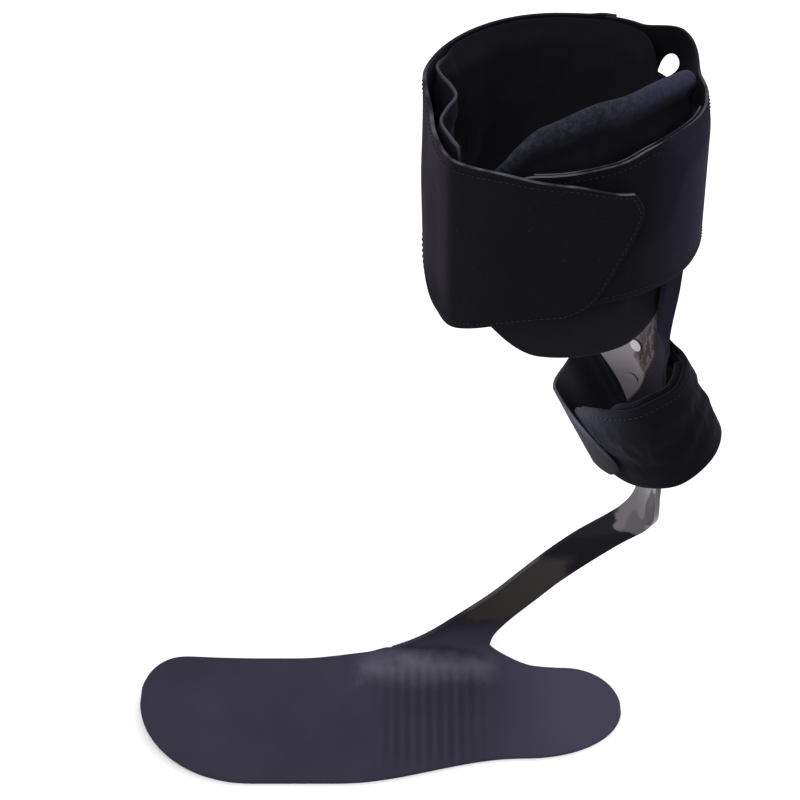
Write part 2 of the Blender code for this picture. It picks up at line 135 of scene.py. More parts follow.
class Nodes:
    """Short calls for building one material's node tree."""

    def __init__(self, name):
        self.material = bpy.data.materials.new(name)
        self.material.use_nodes = True
        self.tree = self.material.node_tree
        self.shader = self.tree.nodes["Principled BSDF"]

    def put(self, node, name, value):
        if isinstance(value, bpy.types.NodeSocket):
            self.tree.links.new(value, node.inputs[name])
        else:
            node.inputs[name].default_value = value

    def set(self, **values):
        """Inputs of the Principled shader, with _ for a space in a name."""
        for key, value in values.items():
            self.put(self.shader, key.replace("_", " "), value)

    def coordinates(self, kind="Object"):
        return self.tree.nodes.new("ShaderNodeTexCoord").outputs[kind]

    def noise(self, where, scale, detail=3.0, roughness=0.55):
        node = self.tree.nodes.new("ShaderNodeTexNoise")
        self.put(node, "Vector", where)
        self.put(node, "Scale", scale)
        self.put(node, "Detail", detail)
        self.put(node, "Roughness", roughness)
        return node.outputs["Fac"]

    def stretch(self, where, scale):
        node = self.tree.nodes.new("ShaderNodeMapping")
        self.put(node, "Vector", where)
        self.put(node, "Scale", scale)
        return node.outputs["Vector"]

    def wave(self, where, scale, direction):
        node = self.tree.nodes.new("ShaderNodeTexWave")
        node.bands_direction = direction
        self.put(node, "Vector", where)
        self.put(node, "Scale", scale)
        return node.outputs["Fac"]

    def math(self, operation, a, b):
        node = self.tree.nodes.new("ShaderNodeMath")
        node.operation = operation
        for i, value in enumerate((a, b)):
            if isinstance(value, bpy.types.NodeSocket):
                self.tree.links.new(value, node.inputs[i])
            else:
                node.inputs[i].default_value = value
        return node.outputs[0]

    def plus(self, a, b):
        return self.math("ADD", a, b)

    def times(self, a, b):
        return self.math("MULTIPLY", a, b)

    def remap(self, value, from_low, from_high, to_low=0.0, to_high=1.0):
        """An S-curve from to_low at from_low to to_high at from_high."""
        node = self.tree.nodes.new("ShaderNodeMapRange")
        node.interpolation_type = "SMOOTHSTEP"
        self.put(node, "Value", value)
        for name, number in (("From Min", from_low), ("From Max", from_high),
                             ("To Min", to_low), ("To Max", to_high)):
            node.inputs[name].default_value = number
        return node.outputs["Result"]

    def mix(self, factor, a, b):
        node = self.tree.nodes.new("ShaderNodeMix")
        node.data_type = "RGBA"
        self.put(node, "Factor", factor)
        for name, value in (("A", a), ("B", b)):
            socket = next(s for s in node.inputs if s.name == name and s.type == "RGBA")
            if isinstance(value, bpy.types.NodeSocket):
                self.tree.links.new(value, socket)
            else:
                socket.default_value = (*value, 1.0)
        return next(s for s in node.outputs if s.type == "RGBA")

    def axis(self, where, name):
        node = self.tree.nodes.new("ShaderNodeSeparateXYZ")
        self.put(node, "Vector", where)
        return node.outputs[name]

    def bump(self, height, strength, distance, normal=None):
        node = self.tree.nodes.new("ShaderNodeBump")
        node.inputs["Strength"].default_value = strength
        node.inputs["Distance"].default_value = distance
        self.put(node, "Height", height)
        if normal is not None:
            self.put(node, "Normal", normal)
        return node.outputs["Normal"]


def box_mask(m, place, ranges, soft, wobble):
    """1 inside a box given by its low and high x, y and z from the heel, with ragged soft edges."""
    ragged = m.times(m.math("SUBTRACT", wobble, 0.5), 0.014)
    mask = None
    for axis, heel, (low, high) in zip("XYZ", HEEL, ranges):
        at = m.plus(m.axis(place, axis), ragged)
        for edge, side in ((low, soft), (high, -soft)):
            part = m.remap(at, heel + edge - side, heel + edge + side)
            mask = part if mask is None else m.times(mask, part)
    return mask


# Low and high x, y and z of the laminate's painted reflections on arm, bend and strut, its streaky painted
# reflection, the sole's painted crease highlight and its ribs
ARM_REFLECTION = ((-0.084, -0.028), (0.030, 0.060), (0.026, 0.080))
BEND_REFLECTION = ((-0.0076, 0.030), (0.000, 0.050), (0.1095, 0.170))
STRUT_REFLECTION = ((-0.060, 0.004), (0.0255, 0.060), (0.190, 0.266))
STREAK_REFLECTION = ((-0.060, 0.006), (0.015, 0.030), (0.205, 0.266))
CREASE_HIGHLIGHT = ((-0.140, -0.070), (0.0205, 0.0345), (0.0005, 0.0120))
RIBBED = ((-0.128, -0.078), (-0.034, 0.024), (-0.010, 0.020))
# The strut's painted reflections end at a slanting line: they show where height plus SLANT times y is above
# these values
SLANT, SLANT_EDGE = 2.3, (0.2785, 0.2815)
# Heights between which the sole's look turns into the arm's
ARM_FOOT = (0.010, 0.036)
WEAVE_SCALE, RIB_SCALE = 300.0, 54.0


def carbon_colour(m, place, ragged):
    """The laminate's base colour, with its painted highlights, reflections, sheen and shade, and the weight
    of its clear coat, nil on the sole and the strut's rear.
    """
    height = m.axis(place, "Z")
    cloudy = m.noise(place, 22.0, 4.0)
    # The sole is a satin laminate, its paler bluish tone partly painted top light on the up-facing plate
    sole = m.mix(cloudy, (0.022, 0.0200, 0.0335), (0.037, 0.0340, 0.0520))
    # Painted light: the heel end is paler and bluer, as light falls into its shallow cup
    heel = m.remap(m.axis(place, "X"), HEEL.x - 0.080, HEEL.x - 0.020, 0.0, 0.5)
    sole = m.mix(heel, sole, (0.057, 0.0515, 0.083))
    # Painted highlight: a pale band along the fillet where the sole turns up into the arm
    crease_highlight = m.times(box_mask(m, place, CREASE_HIGHLIGHT, 0.008, ragged), 0.65)
    sole = m.mix(crease_highlight, sole, (0.110, 0.102, 0.138))
    upper = m.mix(cloudy, (0.0060, 0.0056, 0.0075), (0.0110, 0.0102, 0.0135))
    base = m.mix(m.remap(height, *ARM_FOOT), sole, upper)
    # Painted sheen: a bluish tone on the strut's rear strip, where the clear coat is also left off
    rear = m.times(m.remap(height, 0.236, 0.262), m.remap(m.axis(place, "Y"), 0.016, -0.004))
    base = m.mix(rear, base, m.mix(cloudy, (0.008, 0.0075, 0.0140), (0.014, 0.0135, 0.0235)))
    # Painted reflection: streaky brownish tones across the strut's middle, beside the pale lozenge
    reflection_streaks = m.noise(m.stretch(place, (3.0, 1.0, 0.5)), 210.0, 4.0, 0.7)
    streaky_reflection = m.mix(m.remap(reflection_streaks, 0.40, 0.62), (0.016, 0.013, 0.014), (0.052, 0.044, 0.047))
    above = m.remap(m.plus(height, m.times(m.axis(place, "Y"), SLANT)), *SLANT_EDGE)
    base = m.mix(m.times(box_mask(m, place, STREAK_REFLECTION, 0.0015, ragged), above), base, streaky_reflection)
    # Painted reflection: the pale lozenge on the strut's inner face, cut off along the slanting line
    strut_reflection = m.times(box_mask(m, place, STRUT_REFLECTION, 0.0010, ragged), above)
    # Painted reflection: a pale patch on the bend where the arm turns into the strut
    bend_reflection = m.times(box_mask(m, place, BEND_REFLECTION, 0.0012, ragged), m.remap(cloudy, 0.34, 0.42))
    pale = m.math("MAXIMUM", bend_reflection, strut_reflection)
    # pale joins the painted reflections of bend and strut, mixed in as pale grey
    base = m.mix(m.times(pale, 0.9), base, m.mix(cloudy, (0.070, 0.063, 0.070), (0.106, 0.096, 0.104)))
    # Painted reflection: a grey patch on the arm's inner face
    arm_reflection = box_mask(m, place, ARM_REFLECTION, 0.004, ragged)
    gloss = m.times(m.math("MAXIMUM", pale, arm_reflection), 0.5)
    gloss = m.plus(gloss, m.remap(height, 0.030, 0.060, 0.0, 0.08))
    return m.mix(arm_reflection, base, (0.028, 0.0245, 0.0235)), m.times(gloss, m.math("SUBTRACT", 1.0, rear))


def carbon_material():
    """Woven laminate: satin on the sole and paler and bluish there with painted top light, dark up the arm,
    and glossy in its patches of painted reflection.
    """
    m = Nodes("carbon")
    uv = m.coordinates("UV")
    place = m.coordinates()
    raised = m.remap(m.axis(place, "Z"), *ARM_FOOT)
    warp = m.wave(uv, WEAVE_SCALE, "DIAGONAL")
    weft = m.wave(m.stretch(uv, (1.0, -1.0, 1.0)), WEAVE_SCALE, "DIAGONAL")
    weave = m.math("SUBTRACT", warp, weft)
    base, gloss = carbon_colour(m, place, m.noise(place, 90.0, 3.0))
    rib = m.wave(m.stretch(place, (1.0, 0.0, 0.0)), RIB_SCALE, "X")
    ribs = m.times(rib, box_mask(m, place, RIBBED, 0.012, m.noise(place, 20.0, 1.0)))
    # Painted shade: darker stripes in the ribs' grooves, over the real bump
    base = m.mix(m.times(ribs, 0.38), base, (0.0095, 0.0085, 0.0130))
    m.set(Base_Color=m.mix(m.times(weave, 0.05), base, (0.10, 0.095, 0.13)))
    fibres = m.noise(m.stretch(place, (1.0, 4.0, 1.0)), 150.0, 3.0)
    m.set(Roughness=m.plus(m.remap(raised, 0.0, 1.0, 0.50, 0.30), m.times(fibres, 0.14)))
    m.set(Coat_Weight=gloss, Coat_Roughness=0.10)
    normal = m.bump(ribs, 0.6, 0.0005)
    m.set(Normal=m.bump(weave, 0.08, 0.0001, normal))
    m.set(Specular_IOR_Level=0.0)
    return m.material


def cloth_nodes(name, dark, light, scale, pile_bump):
    """The start of a brushed fabric: pile colour, bump and clumps."""
    m = Nodes(name)
    place = m.coordinates()
    pile = m.noise(place, scale, 4.0, 0.65)
    patches = m.noise(place, 38.0, 3.0)
    colour = m.mix(m.plus(m.times(pile, 0.5), m.times(patches, 0.5)), dark, light)
    soft = m.bump(patches, 0.5, 0.0014)
    m.set(Roughness=0.95, Specular_IOR_Level=0.04, Normal=m.bump(pile, pile_bump, 0.0004, soft))
    return m, place, colour


def fabric_material():
    """Brushed loop laminate: black with lint, a painted violet sheen on the front fold, a painted bluish
    sheen behind, paler low down.
    """
    m, place, colour = cloth_nodes("fabric", (0.0026, 0.0025, 0.0036), (0.0058, 0.0055, 0.0076), 900.0, 0.35)
    lint = m.times(m.remap(m.noise(place, 520.0, 2.0), 0.66, 0.84), 0.16)
    colour = m.mix(lint, colour, (0.05, 0.05, 0.06))
    # Painted sheen: a violet strip down the strap's front fold
    front = m.times(m.remap(m.axis(place, "Z"), 0.31, 0.33), m.remap(m.axis(place, "X"), 0.0150, 0.0105))
    colour = m.mix(m.times(front, 0.68), colour, (0.0165, 0.0115, 0.0185))
    # Painted sheen: a bluish tone on the wing's rear
    rear = m.times(m.remap(m.axis(place, "X"), 0.088, 0.122), m.remap(m.axis(place, "Y"), 0.004, -0.016))
    colour = m.mix(m.times(rear, 0.6), colour, (0.017, 0.016, 0.029))
    low = m.remap(m.axis(place, "Z"), 0.268, 0.258)
    colour = m.mix(m.times(low, 0.6), colour, (0.016, 0.015, 0.019))
    m.set(Base_Color=colour, Sheen_Weight=0.022, Sheen_Roughness=0.35, Sheen_Tint=(0.72, 0.70, 1.0, 1.0))
    return m.material


def liner_material():
    """Soft brushed lining: black walls, and where the mesh says rim a fluff with a painted bluish highlight,
    palest at the front.
    """
    m, place, colour = cloth_nodes("liner", (0.0042, 0.0042, 0.0056), (0.0082, 0.0082, 0.0108), 700.0, 0.5)
    ankle = m.mix(0.42, colour, (0.0, 0.0002, 0.0004))
    colour = m.mix(m.remap(m.axis(place, "Z"), 0.25, 0.29), ankle, colour)
    rim = m.tree.nodes.new("ShaderNodeAttribute")
    rim.attribute_name = "rim"
    fluff = m.noise(place, 420.0, 4.0, 0.7)
    # Painted highlight: the fluffy rim paler and bluer than the walls
    edge = m.mix(m.remap(fluff, 0.34, 0.68), (0.010, 0.0115, 0.016), (0.024, 0.026, 0.038))
    rear = m.mix(fluff, (0.012, 0.0125, 0.025), (0.038, 0.037, 0.068))
    # Painted sheen: brighter and bluer on the rear part of the rim
    edge = m.mix(m.remap(m.axis(place, "X"), 0.070, 0.110), edge, rear)
    front = m.mix(fluff, (0.030, 0.032, 0.042), (0.062, 0.065, 0.082))
    # Painted highlight: palest on the rim at the front
    edge = m.mix(m.remap(m.axis(place, "X"), 0.026, 0.016), edge, front)
    m.set(Base_Color=m.mix(rim.outputs["Fac"], colour, edge))
    m.set(Sheen_Weight=0.03, Sheen_Roughness=0.4, Sheen_Tint=(0.72, 0.74, 1.0, 1.0))
    return m.material


def edge_material():
    """The cut and sewn edge of the laminated fabric, paler than its face where it is worn and where a painted
    highlight falls, on the near side and most towards the top.
    """
    m = Nodes("cut_edge")
    place = m.coordinates()
    threads = m.noise(place, 900.0, 2.0)
    # Wear mixed with painted highlight: pale only on the near side, and most towards the top
    wear_and_highlight = m.times(m.remap(m.noise(place, 70.0, 2.0), 0.30, 0.58), m.remap(m.axis(place, "Y"), 0.026, 0.006))
    wear_and_highlight = m.times(wear_and_highlight, m.remap(m.axis(place, "Z"), 0.25, 0.30, 0.25, 1.0))
    pale = m.mix(threads, (0.036, 0.037, 0.043), (0.085, 0.085, 0.096))
    m.set(Base_Color=m.mix(wear_and_highlight, (0.009, 0.009, 0.012), pale), Roughness=0.8, Specular_IOR_Level=0.05)
    m.set(Normal=m.bump(threads, 0.4, 0.0003))
    return m.material


def thread_material():
    """Dark grey sewing thread with a twist."""
    m = Nodes("thread")
    place = m.coordinates()
    twist = m.noise(place, 2500.0, 2.0)
    m.set(Base_Color=m.mix(twist, (0.005, 0.005, 0.006), (0.017, 0.0165, 0.019)), Roughness=0.7)
    m.set(Specular_IOR_Level=0.1, Normal=m.bump(twist, 0.4, 0.0002))
    return m.material


def hook_material():
    """Hook tape: rows of tiny stiff hooks."""
    m = Nodes("hook")
    place = m.coordinates()
    rows = m.noise(m.stretch(place, (1.0, 1.0, 0.5)), 1800.0, 1.0)
    m.set(Base_Color=m.mix(rows, (0.004, 0.004, 0.005), (0.018, 0.018, 0.022)), Roughness=0.55)
    m.set(Specular_IOR_Level=0.2, Normal=m.bump(rows, 0.8, 0.0005))
    return m.material


def steel_material():
    """Satin steel with fine scratches."""
    m = Nodes("steel")
    place = m.coordinates()
    scratch = m.noise(m.stretch(place, (1.0, 6.0, 1.0)), 700.0, 3.0)
    m.set(Base_Color=m.mix(scratch, (0.36, 0.36, 0.38), (0.50, 0.49, 0.52)), Metallic=0.6)
    m.set(Roughness=m.plus(m.times(scratch, 0.2), 0.2))
    return m.material


def floor_material():
    """Matt white, with a faint grain."""
    m = Nodes("floor")
    grain = m.noise(m.coordinates(), 8.0, 2.0)
    m.set(Base_Color=m.mix(grain, (0.93, 0.93, 0.93), (0.95, 0.95, 0.95)), Roughness=0.9)
    return m.material


# ---------------------------------------------------------------- meshes


def make_object(name, mesh, *finishes):
    made = bpy.data.objects.new(name, mesh)
    bpy.context.scene.collection.objects.link(made)
    for finish in finishes:
        mesh.materials.append(finish)
    return made


def grid_mesh(name, rows):
    """A sheet of quads through rows of points, with UVs in metres."""
    mesh = bpy.data.meshes.new(name)
    across = len(rows[0])
    points = [HEEL + p for row in rows for p in row]
    faces = [
        (r * across + c, r * across + c + 1, (r + 1) * across + c + 1, (r + 1) * across + c)
        for r in range(len(rows) - 1)
        for c in range(across - 1)
    ]
    mesh.from_pydata(points, [], faces)
    along, up = [[0.0] * across], [[0.0] * across]
    for r in range(len(rows)):
        if r:
            along.append([0.0] * across)
            up.append([up[r - 1][c] + (rows[r][c] - rows[r - 1][c]).length for c in range(across)])
        for c in range(1, across):
            along[r][c] = along[r][c - 1] + (rows[r][c] - rows[r][c - 1]).length
    layer = mesh.uv_layers.new(name="UVMap")
    for loop in mesh.loops:
        r, c = divmod(loop.vertex_index, across)
        layer.data[loop.index].uv = (along[r][c], up[r][c])
    return mesh


def apply_modifiers(made):
    """Bakes the modifiers into the mesh, and shades it smooth."""
    bpy.context.view_layer.update()
    graph = bpy.context.evaluated_depsgraph_get()
    baked = made.evaluated_get(graph)
    mesh = bpy.data.meshes.new_from_object(baked, preserve_all_data_layers=True, depsgraph=graph)
    old = made.data
    made.modifiers.clear()
    made.data = mesh
    bpy.data.meshes.remove(old)
    mesh.name = made.name
    mesh.shade_smooth()
    return made


def subdivide(made, levels):
    sub = made.modifiers.new("subdivision", "SUBSURF")
    sub.levels = sub.render_levels = levels
    sub.boundary_smooth = "PRESERVE_CORNERS"


def thicken(made, thickness, rim=0):
    """Thickness on both sides alike; rim is how many slots further on the rim's material is."""
    solid = made.modifiers.new("thickness", "SOLIDIFY")
    solid.thickness = thickness
    solid.offset = 0.0
    solid.use_quality_normals = True
    solid.material_offset_rim = rim


def round_edges(made, width, segments=2):
    bevel = made.modifiers.new("edges", "BEVEL")
    bevel.width = width
    bevel.segments = segments
    bevel.limit_method = "ANGLE"
    bevel.angle_limit = math.radians(50)
    bevel.harden_normals = False


def cloth_piece(name, rows, thickness, face, edge, edge_round=0.0004):
    """A fabric layer: a smooth sheet with thickness and a paler cut edge."""
    made = make_object(name, grid_mesh(name, rows), face, edge)
    subdivide(made, 1)
    thicken(made, thickness, rim=1)
    round_edges(made, edge_round)
    return apply_modifiers(made)


def stitch_mesh(name, path, normals):
    """A row of thread stitches along a path, each a small tapered bead lying on the surface."""
    built = bmesh.new()
    size = Vector((STITCH_LENGTH / 2, STITCH_RADIUS * 1.6, STITCH_RADIUS))
    travelled, wanted = 0.0, STITCH_SPACING / 2
    for (a, b), out in zip(zip(path, path[1:]), normals):
        run = (b - a).length
        while wanted < travelled + run:
            middle = HEEL + a.lerp(b, (wanted - travelled) / run)
            turn = (b - a).to_track_quat("X", "Z").to_matrix().to_4x4()
            shape = bmesh.ops.create_icosphere(built, subdivisions=1, radius=1.0)["verts"]
            for vert in shape:
                vert.co = turn @ (vert.co * size) + middle + out * STITCH_RADIUS * 0.6
            wanted += STITCH_SPACING
        travelled += run
    mesh = bpy.data.meshes.new(name)
    built.to_mesh(mesh)
    built.free()
    mesh.shade_smooth()
    return mesh


def sew(made, thread, path, normals):
    """Adds a row of stitches to a piece, as part of its mesh."""
    join(made, make_object("stitches", stitch_mesh("stitches", path, normals), thread))


def join(made, *others):
    """Takes the other objects into this one, with their materials."""
    with bpy.context.temp_override(active_object=made, selected_editable_objects=[made, *others]):
        bpy.ops.object.join()


# Segments of the half circle that rounds off a pad's edge
ARC = 5


def round_end(p, out, up, half, sign):
    """Points of a half circle over the top (sign 1) or under the bottom (-1) of a pad's section."""
    angles = [math.pi * k / ARC for k in range(1, ARC)]
    return [p + sign * half * (up * math.sin(a) - out * math.cos(a)) for a in angles]


def pad_mesh(name, middles, halves, rims):
    """A closed pad with rounded edges, from each column's middle line, half thicknesses and share of rim."""
    last = len(middles) - 1
    loops, values = [], []
    for c, (column, half, rim) in enumerate(zip(middles, halves, rims)):
        before, after = middles[max(c - 1, 0)], middles[min(c + 1, last)]
        top = len(column) - 1
        sides = []
        for i, p in enumerate(column):
            up = (column[min(i + 1, top)] - column[max(i - 1, 0)]).normalized()
            sides.append((p, (after[i] - before[i]).cross(up).normalized(), up, half[i]))
        inner = [p - out * h for p, out, _, h in sides]
        outer = [p + out * h for p, out, _, h in sides]
        loops.append(inner + round_end(*sides[-1], 1) + outer[::-1] + round_end(*sides[0], -1))
        values += rim + rim[-1:] * (ARC - 1) + rim[::-1] + rim[:1] * (ARC - 1)
    around = len(loops[0])
    faces = []
    for r in range(last):
        for c in range(around):
            d = (c + 1) % around
            faces.append((r * around + c, r * around + d, (r + 1) * around + d, (r + 1) * around + c))
    faces.append(tuple(range(around)))
    faces.append(tuple(last * around + c for c in reversed(range(around))))
    mesh = bpy.data.meshes.new(name)
    mesh.from_pydata([HEEL + p for loop in loops for p in loop], [], faces)
    mesh.attributes.new("rim", "FLOAT", "POINT").data.foreach_set("value", values)
    fixed = bmesh.new()
    fixed.from_mesh(mesh)
    bmesh.ops.recalc_face_normals(fixed, faces=fixed.faces)
    fixed.to_mesh(mesh)
    fixed.free()
    return mesh


def pad_piece(name, middles, halves, rims, finish, cap, soft=0.25):
    """A stuffed pad, inflated a little between its sewn edges and ends."""
    made = make_object(name, pad_mesh(name, middles, halves, rims), finish)
    rows = len(middles[0])
    free = [1.0] * 2 + [soft] * (rows - 5) + [1.0] * 3
    hold = free + [1.0] * (ARC - 1) + free[::-1] + [1.0] * (ARC - 1)
    ends = (0, 1, len(middles) - 2, len(middles) - 1)
    firm = [1.0 if c in ends else held for c in range(len(middles)) for held in hold]
    inflate(made, firm, cap)
    subdivide(made, 1)
    return apply_modifiers(made)


def inflate(made, firm, cap):
    """Cloth simulation of a stuffed pad. firm gives each vertex's hold, and none moves further than cap."""
    start = [v.co.copy() for v in made.data.vertices]
    group = made.vertex_groups.new(name="firm")
    for index, hold in enumerate(firm):
        group.add([index], hold, "REPLACE")
    cloth = made.modifiers.new("stuffing", "CLOTH")
    cloth.settings.vertex_group_mass = "firm"
    cloth.settings.use_pressure = True
    cloth.settings.uniform_pressure_force = CLOTH_PRESSURE
    cloth.settings.effector_weights.gravity = 0
    cloth.settings.quality = 4
    cloth.settings.tension_stiffness = cloth.settings.compression_stiffness = CLOTH_STIFFNESS
    cloth.settings.shrink_min = CLOTH_SHRINK
    cloth.point_cache.frame_start, cloth.point_cache.frame_end = 1, CLOTH_FRAMES
    for frame_number in range(1, CLOTH_FRAMES + 1):
        bpy.context.scene.frame_set(frame_number)
    graph = bpy.context.evaluated_depsgraph_get()
    moved = made.evaluated_get(graph).to_mesh()
    ends = [v.co.copy() for v in moved.vertices]
    made.evaluated_get(graph).to_mesh_clear()
    made.modifiers.clear()
    made.vertex_groups.clear()
    bpy.context.scene.frame_set(1)
    for vert, a, b in zip(made.data.vertices, start, ends):
        step = b - a
        vert.co = a + step * min(1.0, cap / max(step.length, 1e-9))


# ---------------------------------------------------------------- carbon frame


def plate_edges(x):
    """The lateral and medial y of the sole plate at x, its ends rounded as parts of ellipses."""
    from_toe, from_heel = x + FOOT_LENGTH, -x
    lateral = -0.0300 - 0.0165 * smooth(-0.055, -0.150, x)
    medial = 0.0310 + 0.0068 * smooth(-0.030, -0.085, x)

    def rounded(edge, middle, distance, radius):
        return middle + (edge - middle) * math.sqrt(1 - max(0.0, 1 - distance / radius) ** 2)

    lateral = rounded(lateral, 0.008, from_toe, 0.060)
    lateral = rounded(lateral, 0.003, from_heel, 0.052)
    medial = rounded(medial, 0.008, from_toe, 0.023)
    medial = rounded(medial, 0.003, from_heel, 0.029)
    return lateral, medial


def plate_height(x, across):
    """The plate's middle surface: level heel and ball, raised inner arch, slight toe spring."""
    arch = smooth(-0.045, -0.095, x) * smooth(-0.175, -0.120, x)
    rise = ARCH_RISE * arch * smooth(0.35, 1.0, across)
    spring = TOE_SPRING * max(0.0, (-0.195 - x) / 0.064) ** 2
    return PLATE_THICKNESS / 2 + rise + spring


# Distances of the sole's first cross rows from its toe, and of its last ones from its heel
TOE_ROWS = (0.0003, 0.0012, 0.0028, 0.005, 0.008, 0.012, 0.017, 0.023, 0.030, 0.038, 0.048)
HEEL_ROWS = (0.027, 0.022, 0.0175, 0.0135, 0.010, 0.007, 0.0045, 0.0025, 0.001, 0.0003)


def plate_rows():
    """Cross rows from toe to heel, close together at the rounded ends."""
    toe = [-FOOT_LENGTH + d for d in TOE_ROWS]
    middle = steps(-0.203, -0.0325, 28)
    heel = [-d for d in HEEL_ROWS]
    rows = []
    for x in toe + middle + heel:
        low, high = plate_edges(x)
        rows.append([Vector((x, low + (high - low) * f, plate_height(x, f))) for f in steps(0, 1, 15)])
    return rows


# The arm's edges from its root on the plate to the ankle, in millimetres
ARM_FRONT = [
    (-126, 42, 5.8), (-106.5, 43.5, 14.2), (-85, 44, 32.5), (-68.7, 43.5, 49), (-55.2, 42.5, 66),
    (-42, 41, 83), (-27.7, 39, 100), (-12, 37, 116), (-1.5, 35.5, 129), (2.3, 35, 142), (2.3, 35, 155),
]
ARM_REAR = [
    (-70, 42, 8), (-67.5, 44, 15.5), (-59.5, 45, 26.5), (-46.5, 44.5, 42.5), (-33.5, 43, 59.5),
    (-18, 39.5, 79), (-3, 33, 100), (6.5, 24, 117), (9, 15, 132), (8.6, 9.5, 144), (8, 8, 155),
]


def arm_row(t, across):
    """One cross row of the arm, from its rear edge to its front edge, slightly bowed outwards."""
    rear = through(ARM_REAR, t) / 1000
    front = through(ARM_FRONT, t) / 1000
    ahead = (through(ARM_FRONT, min(t + 0.1, 10)) - through(ARM_FRONT, min(t + 0.1, 10) - 0.2)) / 1000
    out = (front - rear).cross(ahead).normalized()
    bow = 0.0012 * smooth(0, 2, t)
    return [rear.lerp(front, f) + out * (bow * 4 * f * (1 - f)) for f in steps(0, 1, across)]


def round_calf(radius, degrees, z):
    """A point on a calf layer: degrees run from the rear (+X) towards the inner side (+Y)."""
    r = radius * (1 - CALF_TAPER * (CALF_TOP - z))
    a = math.radians(degrees)
    return Vector((CALF_X + r * math.cos(a), CALF_Y + r * math.sin(a), z))


def arc_row(z, lateral, medial, rise, across):
    """A level row of points on the circular arc from lateral to medial that bows out by rise."""
    a, b = Vector(lateral), Vector(medial)
    chord = (b - a).length
    radius = (chord**2 / 4 + rise**2) / (2 * rise)
    along = (b - a).normalized()
    out = Vector((along.y, -along.x))
    centre = (a + b) / 2 + out * (rise - radius)
    half = math.asin(min(1.0, chord / 2 / radius))
    if rise > radius:
        half = math.pi - half
    row = []
    for turn in steps(-half, half, across):
        p = centre + radius * (out * math.cos(turn) + along * math.sin(turn))
        row.append(Vector((p.x, p.y, z)))
    return row


# Height, lateral edge x and y, medial edge x and y, and the bow between them, in millimetres
STRUT_STATIONS = [
    (150, 8, 8, 2.3, 35, 1.6), (176, 8.2, 9.5, -1, 36, 2.0), (193, 8.2, 11.5, -6, 36.5, 2.8),
    (210, 7.2, 13, -13, 37.5, 4.0), (226, 5.6, 13, -22, 36.5, 4.0), (243, 4.5, 8, -33, 38.5, 7),
    (261, 3.0, -3, -47, 46.5, 16), (280, -1.5, -18, -61, 52, 30),
]
SHELL_START, SHELL_END = -38, 112


def shell_station(z):
    """The calf shell's station at height z in millimetres, on the cuff's own circle."""
    lateral, medial = (round_calf(SHELL_R, d, z / 1000) for d in (SHELL_START, SHELL_END))
    radius = (lateral.xy - Vector((CALF_X, CALF_Y))).length
    bow = radius * (1 - math.cos(math.radians(SHELL_END - SHELL_START) / 2))
    return (z, *(1000 * v for v in (lateral.x, lateral.y, medial.x, medial.y, bow)))


def strut_row(z, across):
    """The strut's row at height z: a flat strip at the ankle that opens into the calf shell."""
    stations = STRUT_STATIONS + [shell_station(h) for h in (302, 340, 384)]
    heights = [s[0] / 1000 for s in stations]
    i = max(k for k in range(len(heights) - 1) if heights[k] <= z + 1e-9)
    t = i + (z - heights[i]) / (heights[i + 1] - heights[i])
    lateral = through([s[1:3] for s in stations], t) / 1000
    medial = through([s[3:5] for s in stations], t) / 1000
    rise = through([(s[5], 0) for s in stations], t)[0] / 1000
    return arc_row(z, lateral, medial, rise, across)


def make_carbon(finish):
    """Sole plate, arm, strut and calf shell as the one laminate they really are."""
    rows = plate_rows()
    built = bmesh.new()
    grid = [[built.verts.new(HEEL + p) for p in row] for row in rows]
    root = [i for i, row in enumerate(rows) if -0.138 < row[-1].x < -0.050]
    across = len(root)
    chain = [[grid[i][-1] for i in reversed(root)]]
    for t in steps(0, 10, 41):
        chain.append([built.verts.new(HEEL + p) for p in arm_row(t, across)])
    for z in steps(0.160, SHELL_TOP, 46):
        chain.append([built.verts.new(HEEL + p) for p in strut_row(z, across)])
    layer = built.loops.layers.uv.new("UVMap")

    def sheet(lines, start, width, step):
        for r, (below, above) in enumerate(zip(lines, lines[1:])):
            for c in range(len(below) - 1):
                face = built.faces.new((below[c], below[c + 1], above[c + 1], above[c]))
                for loop, (du, dv) in zip(face.loops, ((0, 0), (1, 0), (1, 1), (0, 1))):
                    loop[layer].uv = ((c + du) * width, start + (r + dv) * step)

    sheet(grid, 0.0, 0.0058, 0.0058)
    sheet(chain, 0.4, 0.0030, 0.0045)
    bmesh.ops.recalc_face_normals(built, faces=built.faces)
    mesh = bpy.data.meshes.new("carbon_laminate")
    built.to_mesh(mesh)
    built.free()
    made = make_object("carbon_laminate", mesh, finish)
    subdivide(made, 2)
    thicken(made, LAMINATE)
    round_edges(made, 0.0006, 3)
    apply_modifiers(made)
    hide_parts("footplate", "strut")
    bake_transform(made)
    return made


# ---------------------------------------------------------------- calf cuff


def ripple(p, amount):
    """A smooth random offset that varies with p over about one unit."""
    return amount * noise.noise(Vector(p))


def cuff_rows(radius, start, end, low, high, columns, rows):
    """Rows of a cuff layer from bottom to top. radius, low and high are functions."""
    made = []
    for f in steps(0, 1, rows):
        row = []
        for degrees in steps(start, end, columns):
            z = low(degrees) + (high(degrees) - low(degrees)) * f
            row.append(round_calf(radius(degrees, f), degrees, z))
        made.append(row)
    return made


def liner_low(degrees):
    """Height of the liner's lower edge, which hangs lower on the near side."""
    return 0.3203 - 0.020 * smooth(-150, -100, degrees) * smooth(0, -60, degrees)


